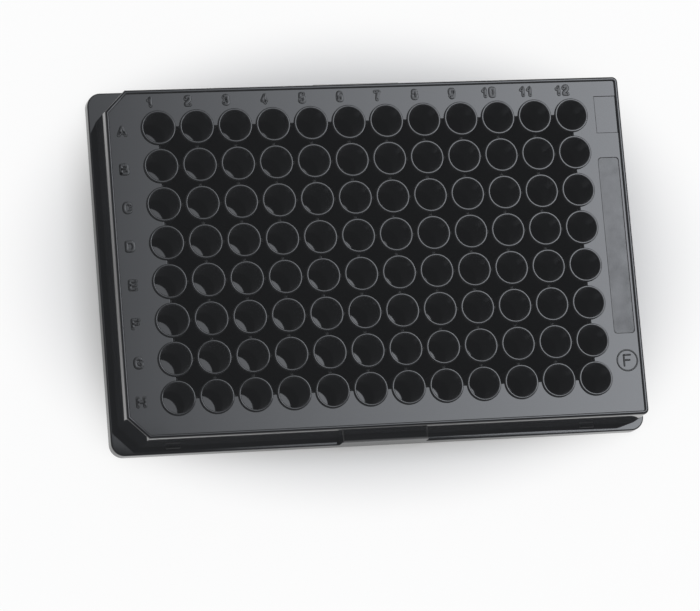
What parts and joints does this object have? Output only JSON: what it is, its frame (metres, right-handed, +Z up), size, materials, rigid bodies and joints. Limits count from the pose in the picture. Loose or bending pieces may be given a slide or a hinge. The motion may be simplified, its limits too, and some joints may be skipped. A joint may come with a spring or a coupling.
{
  "type": "well plate",
  "caption": "Flat rectangular laboratory plate: a foot flange, a skirt with two cut corners, and a grid of small open-topped round wells with flat floors.",
  "frame": {"origin": "centre of the footprint, in the plane that the plate stands on", "axes": "+Z up, out of the wells; +X along the rows, from column 1 to column 12; +Y along the columns, from row H to row A"},
  "size_m": [0.1278, 0.0854, 0.0142],
  "materials": {
    "black_polystyrene": "black polystyrene as moulded in a polished tool: glossy, opaque, with a faint blue cast in its reflections"
  },
  "bodies": {
    "root": {"well_plate": "black_polystyrene"}
  },
  "joints": []
}
